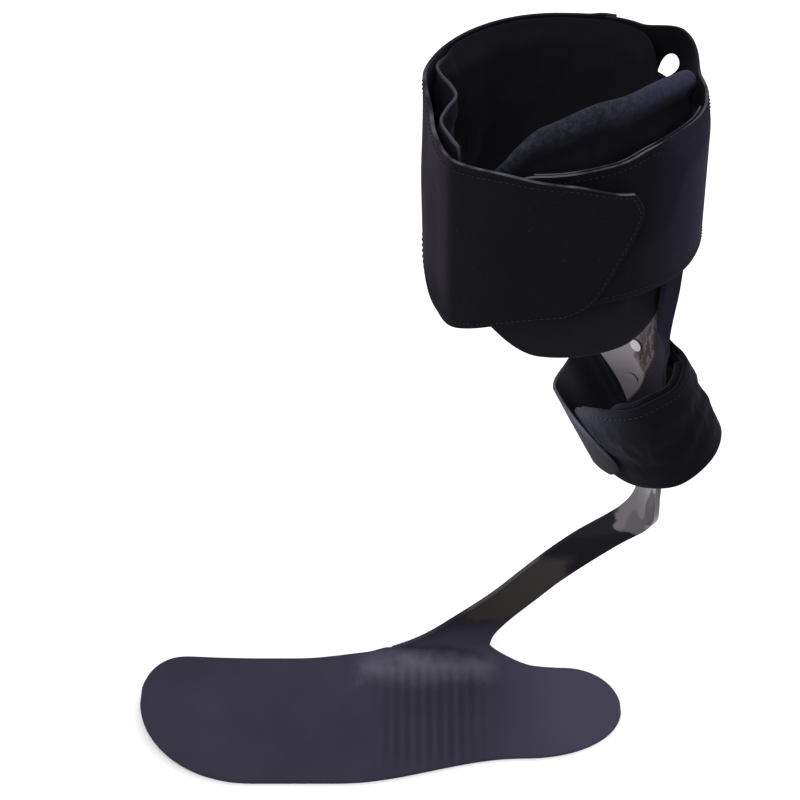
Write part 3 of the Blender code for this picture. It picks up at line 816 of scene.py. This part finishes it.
# The liner's free wing: angle at its foot, x, y and z of its rolled top edge, and the roll's radius, in mm
LINER_WING = [
    (-126, -81.0, -43.0, 391.0, 0.8), (-119.7, -76.6, -43.6, 396.5, 1.3), (-112, -70.3, -39.0, 401.0, 1.9),
    (-103.7, -63.0, -32.5, 403.5, 2.5), (-93.8, -54.0, -26.5, 404.0, 3.0), (-77.4, -39.0, -14.5, 403.5, 3.3),
    (-62.3, -26.0, -7.0, 402.5, 3.5), (-43, -12.0, 5.5, 401.5, 3.8), (-20, -1.5, 15.5, 399.5, 4.1),
    (8, 2.6, 21.0, 397.0, 4.2),
]
# The rest of its top edge: angle, radius, height, radius of its rounding, and how strongly its fluffy rim
# takes the painted highlight
LINER_REST = [
    (17, 56.0, 391.0, 3.4, 0.9), (25, 53.4, 384.0, 2.4, 0.3), (32, 52.7, 382.0, 2.3, 0.0),
    (38, 53.0, 384.0, 2.0, 0.0), (44, 56.5, 393.0, 1.0, 0.0), (50, 58.1, 398.6, 0.6, 0.0),
    (62, 58.1, 400.2, 0.6, 0.0), (80, 58.1, 399.2, 0.6, 0.0), (100, 58.1, 399.0, 0.6, 0.0),
    (120, 58.1, 399.0, 0.6, 0.0), (140, 58.1, 399.0, 0.6, 0.0), (149, 56.6, 399.0, 0.6, 0.1),
    (157, 57.4, 398.6, 0.6, 0.8), (163, 53.6, 398.4, 0.6, 1.0),
    (171, 47.8, 398.5, 0.6, 1.0), (181, 45.2, 398.5, 0.6, 1.0), (190, 50.2, 397.5, 0.6, 1.0),
    (196, 53.8, 396.0, 0.6, 1.0), (206, 54.0, 395.0, 0.7, 1.0), (215, 54.2, 394.0, 0.8, 1.0),
]
LINER_HALF = 0.0022


def liner_column(degrees, top, roll, reach, pale):
    """One column of the liner from its lower edge to its top edge, leaning over as height**reach."""
    middle, half, rim = [], [], []
    low = liner_low(degrees)
    for u in steps(0, 1, 16):
        f = 1 - (1 - u) ** 1.6
        z = low + (top.z - low) * f
        p = round_calf(LINER_R, degrees, z)
        lean = f**reach
        fold = ripple((degrees / 16, 1.6 * f, 0.7), 0.0022) * smooth(0.15, 0.5, f) * smooth(1, 0.85, f)
        middle.append(Vector((p.x + (top.x - p.x) * lean + fold, p.y + (top.y - p.y) * lean - fold, z)))
        half.append(LINER_HALF + (roll - LINER_HALF) * smooth(0.88, 0.965, f))
        # rim: share of the painted rim highlight, a wide band along the wing's top and a thin line elsewhere
        rim.append(pale * (smooth(0.945, 0.985, f) if reach < 2 and degrees < 90 else smooth(0.985, 1.0, f)))
    return middle, half, rim


def liner_columns():
    columns = []
    for t in steps(0, len(LINER_WING) - 1, 84):
        degrees, x = through([k[:2] for k in LINER_WING], t)
        y, z = through([k[2:4] for k in LINER_WING], t)
        roll = through([k[3:] for k in LINER_WING], t)[1]
        top = (Vector((x, y, z)) - VIEW_UP * roll) / 1000
        columns.append(liner_column(degrees, top, roll / 1000, 1.5, 1.0))
    for t in steps(0, len(LINER_REST) - 1, 110):
        degrees, radius = through([k[:2] for k in LINER_REST], t)
        z, roll = through([k[2:4] for k in LINER_REST], t)
        pale = through([k[3:] for k in LINER_REST], t)[1]
        reach = 2 + 9 * smooth(36, 50, degrees) - 9.6 * smooth(150, 168, degrees)
        top = round_calf(radius / 1000, degrees, z / 1000)
        top.z -= roll / 1000
        columns.append(liner_column(degrees, top, roll / 1000, reach, min(1.0, max(0.0, pale))))
    return columns


# How far the wing's top edge leans in over the calf: angle and distance in millimetres
WING_LEAN = [
    (-128, 0), (-114, 0.4), (-95, 4.4), (-79, 7.6), (-66, 9.0), (-50, 11.2), (-30, 9.0), (-12, 3.6),
    (2, 0.8), (14, 0), (26, 0),
]


def wing_lean(degrees, f):
    """How far the wing leans in at share f of its height."""
    if not WING_LEAN[0][0] < degrees < WING_LEAN[-1][0]:
        return 0.0
    i = max(k for k in range(len(WING_LEAN) - 1) if WING_LEAN[k][0] <= degrees)
    t = i + (degrees - WING_LEAN[i][0]) / (WING_LEAN[i + 1][0] - WING_LEAN[i][0])
    start = 0.35 + 0.52 * smooth(-52, -38, degrees)
    return max(0.0, through(WING_LEAN, t)[1]) / 1000 * smooth(start, 1.05, f) / smooth(start, 1.05, 1.0)


def wrap_radius(degrees, f):
    """The wing's radius, with the bulge of its finger loop, a flare at its lower edge and its lean."""
    loop = smooth(BULGE_START, BULGE_AT, degrees) * smooth(BULGE_END, BULGE_AT, degrees)
    flare = FLARE * (1 - f) * smooth(-75, -25, degrees) * smooth(30, 5, degrees)
    return WRAP_R + BULGE * loop + flare - wing_lean(degrees, f)


def wing_low(degrees):
    """The wing's lower edge is raised where the liner shows under it."""
    share = 1 - 0.25 * smooth(-25, 0, degrees) - 0.75 * smooth(15, 60, degrees)
    return CALF_TOP - STRAP_HEIGHT + 0.012 * (smooth(-125, -85, degrees) * share)


def wrap_low(degrees):
    """The strap's lower edge drops towards its front fold."""
    return CALF_TOP - STRAP_HEIGHT - 0.018 * smooth(165, STRAP_FOLD, degrees)


def wrap_high(degrees):
    """The top edge of wing and strap, higher past the inner rear corner and dropping to the front fold."""
    rise = 0.003 * smooth(20, 60, degrees) + 0.002 * smooth(20, 45, degrees) * smooth(90, 50, degrees)
    return CALF_TOP + rise - 0.0055 * smooth(165, STRAP_FOLD, degrees)


def wing_high(degrees):
    """The wing's top edge drops at its front end, under the closing end of the strap."""
    return wrap_high(degrees) - 0.0065 * smooth(-104, -124, degrees)


def make_calf_liner(finish):
    middles, halves, rims = zip(*liner_columns())
    made = pad_piece("calf_liner_pad", middles, halves, rims, finish, 0.0022)
    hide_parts("calf_liner")
    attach(made, "shank")
    return made


# Outline of the loop's opening across the line of sight, in millimetres right and up of its middle
LOOP_OPENING = [
    (-4.6, -5.6), (-4.0, -1.4), (-2.2, 2.2), (0.4, 4.2), (3.2, 3.8), (4.8, 1.2), (4.4, -1.8), (1.6, -4.0),
    (-1.6, -5.6),
]
# Its middle's radius, angle and height, as round_calf takes them
LOOP_MIDDLE = (0.0685, 44.8, 0.3815)


def cut_loop_opening(made):
    """Opens the wing's loop on the inner rear corner, where a finger goes through to pull it on."""
    middle = HEEL + round_calf(*LOOP_MIDDLE)
    ahead = (VIEW_AHEAD + Vector((0.1, 0, 0))).normalized()
    built = bmesh.new()
    outline = [through(LOOP_OPENING, k / 4, closed=True) for k in range(4 * len(LOOP_OPENING))]
    ring = [middle + Vector((x / 1000, 0, 0)) + VIEW_UP * y / 1000 for x, y in outline]
    front = [built.verts.new(p - ahead * 0.006) for p in ring]
    back = [built.verts.new(p + ahead * 0.012) for p in ring]
    built.faces.new(front)
    built.faces.new(back[::-1])
    for k in range(len(ring)):
        j = (k + 1) % len(ring)
        built.faces.new((front[j], front[k], back[k], back[j]))
    bmesh.ops.recalc_face_normals(built, faces=built.faces)
    mesh = bpy.data.meshes.new("opening")
    built.to_mesh(mesh)
    built.free()
    cutter = make_object("opening", mesh, made.data.materials[1])
    cut = made.modifiers.new("opening", "BOOLEAN")
    cut.object = cutter
    cut.solver = "EXACT"
    cut.material_mode = "TRANSFER"
    apply_modifiers(made)
    bpy.data.objects.remove(cutter)
    bpy.data.meshes.remove(mesh)


def sew_cuff(made, thread, rows, index, lift):
    """Stitches along one row of a cuff layer's grid, lifted off its middle surface away from the leg."""
    path = rows[index]
    out = [(p - Vector((CALF_X, CALF_Y, p.z))).normalized() for p in path]
    sew(made, thread, [p + o * lift for p, o in zip(path, out)], out)


def make_calf_wing(finish, edge, thread):
    """The wing's outer wrap, with its thinner lining sewn in just below its top edge."""
    rows = cuff_rows(wrap_radius, WING_START, WING_END, wing_low, wing_high, 120, 22)
    made = cloth_piece("calf_wing_wrap", rows, WRAP_THICKNESS, finish, edge)
    cut_loop_opening(made)
    lining = cuff_rows(lambda degrees, f: wrap_radius(degrees, 0.4 + 0.6 * f) - 0.0021, -106, -6,
                       lambda degrees: 0.362, lambda degrees: wrap_high(degrees) - 0.0004, 60, 10)
    join(made, cloth_piece("wing_lining", lining, LINING_THICKNESS, finish, edge, 0.0003))
    sew_cuff(made, thread, rows, -2, WRAP_THICKNESS / 2)
    sew_cuff(made, thread, rows, 1, WRAP_THICKNESS / 2)
    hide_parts("calf_wing")
    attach(made, "shank")
    return made


def strap_radius(degrees, f):
    """The strap starts over the wing's end and is dented in at the front fold."""
    dent = 0.0035 * bell(187, 24, degrees) * smooth(0.45, 1.0, f)
    return WRAP_R - dent + 0.0019 * smooth(77, 71, degrees)


# Height in millimetres and angle of the closing end's far edge, from its lower to its upper corner
TAB_EDGE = [(329, 268), (333, 276), (339, 282), (352, 288), (366, 294), (378, 298), (385, 296), (390, 293)]


def make_calf_strap(finish, edge, thread):
    """The strap and its closing end as the one band they are."""
    rows = []
    for i in steps(0, 7, 22):
        f = i / 7
        z_edge, end = through(TAB_EDGE, i)
        row = []
        for degrees in steps(STRAP_START, STRAP_FOLD, 64):
            z = wrap_low(degrees) + (wrap_high(degrees) - wrap_low(degrees)) * f
            row.append(round_calf(strap_radius(degrees, f), degrees, z))
        z_root = wrap_low(STRAP_FOLD) + (wrap_high(STRAP_FOLD) - wrap_low(STRAP_FOLD)) * f
        for g in steps(0, 1, 46)[1:]:
            degrees = STRAP_FOLD + (end - STRAP_FOLD) * g
            z = z_root + (z_edge / 1000 - z_root) * smooth(0.05, 1.0, g)
            z += TAB_RISE * smooth(0.5, 1.0, f) * smooth(214, 250, degrees) * smooth(296, 268, degrees)
            climb = (TAB_R - WRAP_R) * smooth(STRAP_FOLD, STRAP_FOLD + 20, degrees)
            row.append(round_calf(strap_radius(degrees, f) + climb, degrees, z))
        rows.append(row)
    made = cloth_piece("calf_strap_band", rows, STRAP_THICKNESS, finish, edge)
    ends = [row[-2] for row in rows]
    for path in (rows[-2], rows[1], ends[1:-1]):
        sew_cuff(made, thread, [path], 0, STRAP_THICKNESS / 2)
    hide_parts("calf_strap", "calf_strap_tab")
    start, end = (HEEL + round_calf(WRAP_R, d, 0.36) for d in (192, 216))
    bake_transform(made)
    return made


# ---------------------------------------------------------------- ankle band


def band_point(t, offset, height):
    """A point of the ankle band: t runs round its plan, offset is outwards and height along its axis."""
    here = through(BAND_PLAN, t, closed=True) / 1000
    along = through(BAND_PLAN, t + 0.02, closed=True) - through(BAND_PLAN, t - 0.02, closed=True)
    out = Vector((along.y, -along.x)).normalized() * -1
    u, v = here + out * offset
    forward = Vector((math.cos(BAND_LEAN), 0, math.sin(BAND_LEAN)))
    axis = Vector((-math.sin(BAND_LEAN), 0, math.cos(BAND_LEAN)))
    return BAND_CENTRE + forward * u + Vector((0, v, 0)) + axis * height


def band_high(t):
    """The top edge rises to a tongue at the strut, and a little on the near side."""
    tongue = 0.007 * smooth(7.4, 8.2, t) * smooth(9.4, 8.6, t)
    return BAND_HEIGHT / 2 + tongue + 0.004 * smooth(10.9, 11.8, t) * smooth(13.5, 12.8, t)


def band_pad(offset, start, end, low, high, half, columns, pale):
    """Columns of a padded band: middle line, half thickness and share of rim for each."""
    made = []
    for t in steps(start, end, columns):
        middle, rim = [], []
        for f in steps(0, 1, 12):
            soft = ripple((t * 1.3, f * 2.5, offset * 900), 0.0010) * 4 * f * (1 - f)
            middle.append(band_point(t, offset + soft, low(t) + half + (high(t) - low(t) - 2 * half) * f))
            # rim: the share of the liner's painted rim highlight along the top edge
            rim.append(pale * smooth(0.95, 1.0, f))
        made.append((middle, [half] * 12, rim))
    return zip(*made)


def make_ankle_band(finish, thread):
    columns = band_pad(0.0, BAND_START, BAND_END, lambda t: -BAND_HEIGHT / 2,
                       lambda t: band_high(t) - 0.007 * smooth(13.25, 13.74, t), 0.0014, 110, 0.04)
    made = pad_piece("ankle_band_wrap", *columns, finish, 0.0012, 0.35)
    path = [band_point(t, 0.0017, band_high(t) - BAND_SEAM) for t in steps(10.2, 13.2, 80)]
    inner = [band_point(t, 0.0, band_high(t) - BAND_SEAM) for t in steps(10.2, 13.2, 80)]
    sew(made, thread, path, [(p - q).normalized() for p, q in zip(path, inner)])
    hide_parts("ankle_band")
    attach(made, "shank")
    return made


def make_ankle_liner(finish):
    columns = band_pad(-0.0036, 10.0, 13.1, lambda t: -0.023,
                       lambda t: band_high(t) + 0.0005 - 0.010 * smooth(12.4, 13.1, t), 0.0019, 60, 0.04)
    made = pad_piece("ankle_liner_pad", *columns, finish, 0.0010, 0.35)
    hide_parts("ankle_liner")
    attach(made, "shank")
    return made


# Height in millimetres and plan parameter of the ankle strap's pointed end, from bottom to top
ANKLE_TAB_EDGE = [(-21, 3.25), (-16, 3.0), (-9, 2.95), (4, 3.3), (25, 3.95)]
ANKLE_FOLD = 4.3


def ankle_strap_offset(t):
    """The strap steps out over the band's ends, and is drawn in a little at its front."""
    return 0.0025 * smooth(5.8, 6.2, t) + 0.0042 * smooth(4.75, 3.75, t) - 0.0022 * bell(4.9, 0.9, t)


def ankle_strap_lift(t):
    """The strap climbs a little towards its front fold."""
    return ANKLE_STRAP_RISE * smooth(5.8, 4.7, t)


def make_ankle_strap(finish, edge):
    """The ankle strap and its closing end as the one band they are."""
    rows = []
    for i in steps(0, 4, 14):
        height, end = through(ANKLE_TAB_EDGE, i)
        f = i / 4
        row = []
        for t in steps(6.6, ANKLE_FOLD, 26):
            row.append(band_point(t, ankle_strap_offset(t), BAND_HEIGHT * (f - 0.5) + ankle_strap_lift(t)))
        for g in steps(0, 1, 18)[1:]:
            t = ANKLE_FOLD + (end - ANKLE_FOLD) * g
            h = BAND_HEIGHT * (f - 0.5) * (1 - g) + height / 1000 * g
            row.append(band_point(t, ankle_strap_offset(t), h + ankle_strap_lift(t)))
        rows.append(row)
    made = cloth_piece("ankle_strap_band", rows, ANKLE_STRAP_THICKNESS, finish, edge)
    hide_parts("ankle_strap", "ankle_strap_tab")
    start, end = (HEEL + band_point(t, 0.001, 0) for t in (4.6, 4.1))
    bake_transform(made)
    return made


# ---------------------------------------------------------------- stage


def make_stage(finish):
    """A floor and an even white world."""
    floor = make_object("floor", bpy.data.meshes.new("floor"), finish)
    built = bmesh.new()
    bmesh.ops.create_grid(built, x_segments=1, y_segments=1, size=6.0)
    built.to_mesh(floor.data)
    built.free()
    world = bpy.context.scene.world or bpy.data.worlds.new("studio")
    bpy.context.scene.world = world
    world.use_nodes = True
    world.node_tree.nodes["Background"].inputs["Color"].default_value = (1.0, 1.0, 1.0, 1.0)
    world.node_tree.nodes["Background"].inputs["Strength"].default_value = 0.95


def area_light(name, place, target, size, power):
    """A softbox at place, turned to its target; the camera doesn't see it."""
    data = bpy.data.lights.new(name, "AREA")
    data.shape = "RECTANGLE"
    data.size, data.size_y = size
    data.energy = power
    made = bpy.data.objects.new(name, data)
    made.visible_camera = False
    bpy.context.scene.collection.objects.link(made)
    made.location = place
    made.rotation_euler = (Vector(target) - Vector(place)).to_track_quat("-Z", "Y").to_euler()
    return made


def make_camera():
    """The photo's view, straight from the lateral side and looking down."""
    data = bpy.data.cameras.new("camera")
    data.sensor_width = CAMERA_SENSOR
    data.lens = CAMERA_LENS
    made = bpy.data.objects.new("camera", data)
    bpy.context.scene.collection.objects.link(made)
    made.location = CAMERA_TARGET - VIEW_AHEAD * CAMERA_DISTANCE
    made.rotation_euler = (math.pi / 2 - CAMERA_ELEVATION, 0, 0)
    bpy.context.scene.camera = made


make_camera()
make_stage(floor_material())
area_light("key", (-0.5, -0.9, 1.4), CAMERA_TARGET, (0.9, 0.9), 10)
area_light("rear", (0.6, 0.9, 1.1), CAMERA_TARGET, (1.0, 0.8), 8)
strut_face = HEEL + Vector((-0.010, 0.034, 0.222))
inner = area_light("inner", HEEL + Vector((-0.060, -0.016, 0.238)), strut_face, (0.04, 0.03), 0.105)
inner.visible_glossy = False
bpy.context.scene.view_settings.view_transform = "Standard"

CARBON = carbon_material()
FABRIC = fabric_material()
LINER = liner_material()
EDGE = edge_material()
THREAD = thread_material()
HOOK = hook_material()
STEEL = steel_material()

make_carbon(CARBON)
make_calf_liner(LINER)
make_calf_wing(FABRIC, EDGE, THREAD)
make_calf_strap(FABRIC, EDGE, THREAD)
make_ankle_band(LINER, THREAD)
make_ankle_liner(LINER)
make_ankle_strap(FABRIC, EDGE)

for node_name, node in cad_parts.items():
    if not node.hide_render:
        finish = HOOK if "hook" in node_name else CARBON if node_name == "ankle_rivet_lower" else STEEL
        node.data.materials.clear()
        node.data.materials.append(finish)
